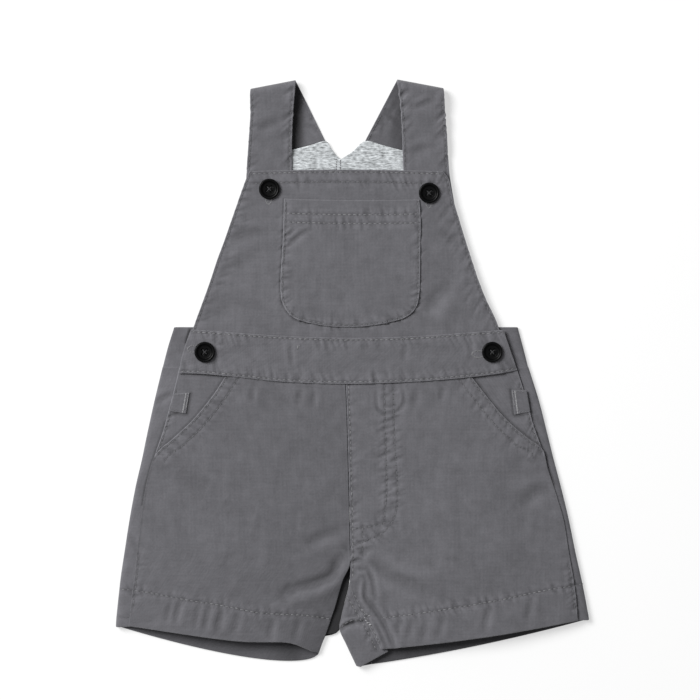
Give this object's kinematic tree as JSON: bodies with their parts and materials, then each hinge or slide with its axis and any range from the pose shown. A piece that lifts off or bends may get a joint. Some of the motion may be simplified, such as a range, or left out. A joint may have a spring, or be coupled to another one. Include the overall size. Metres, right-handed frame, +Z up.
{
  "type": "dungarees",
  "caption": "Short baby dungarees laid flat: bib with a patch pocket, straps buttoned to it, buttoned waistband, slanted hip pockets and turned-up hems.",
  "frame": {"origin": "on the surface that the garment lies on, under the middle of its box", "axes": "+X to the viewer's right, +Y towards the shoulders, +Z up, out of the front of the garment"},
  "size_m": [0.345, 0.4278, 0.0127],
  "materials": {
    "chambray": "matt plain weave",
    "marl_jersey": "soft knit",
    "button": "polished"
  },
  "bodies": {
    "root": {"back_leg_left": "chambray", "back_leg_right": "chambray", "front_leg_left": "chambray", "front_leg_right": "chambray", "hip_facing_left": "chambray", "hip_facing_right": "chambray", "side_tab_left": "chambray", "side_tab_right": "chambray", "bib": "chambray", "bib_pocket": "chambray", "waistband_front": "chambray", "waistband_back": "chambray", "back_bib": "chambray", "strap_left": "chambray", "strap_right": "chambray", "back_bib_facing": "marl_jersey", "button_bib_left": "button", "button_bib_right": "button", "button_waist_left": "button", "button_waist_right": "button"}
  },
  "joints": []
}
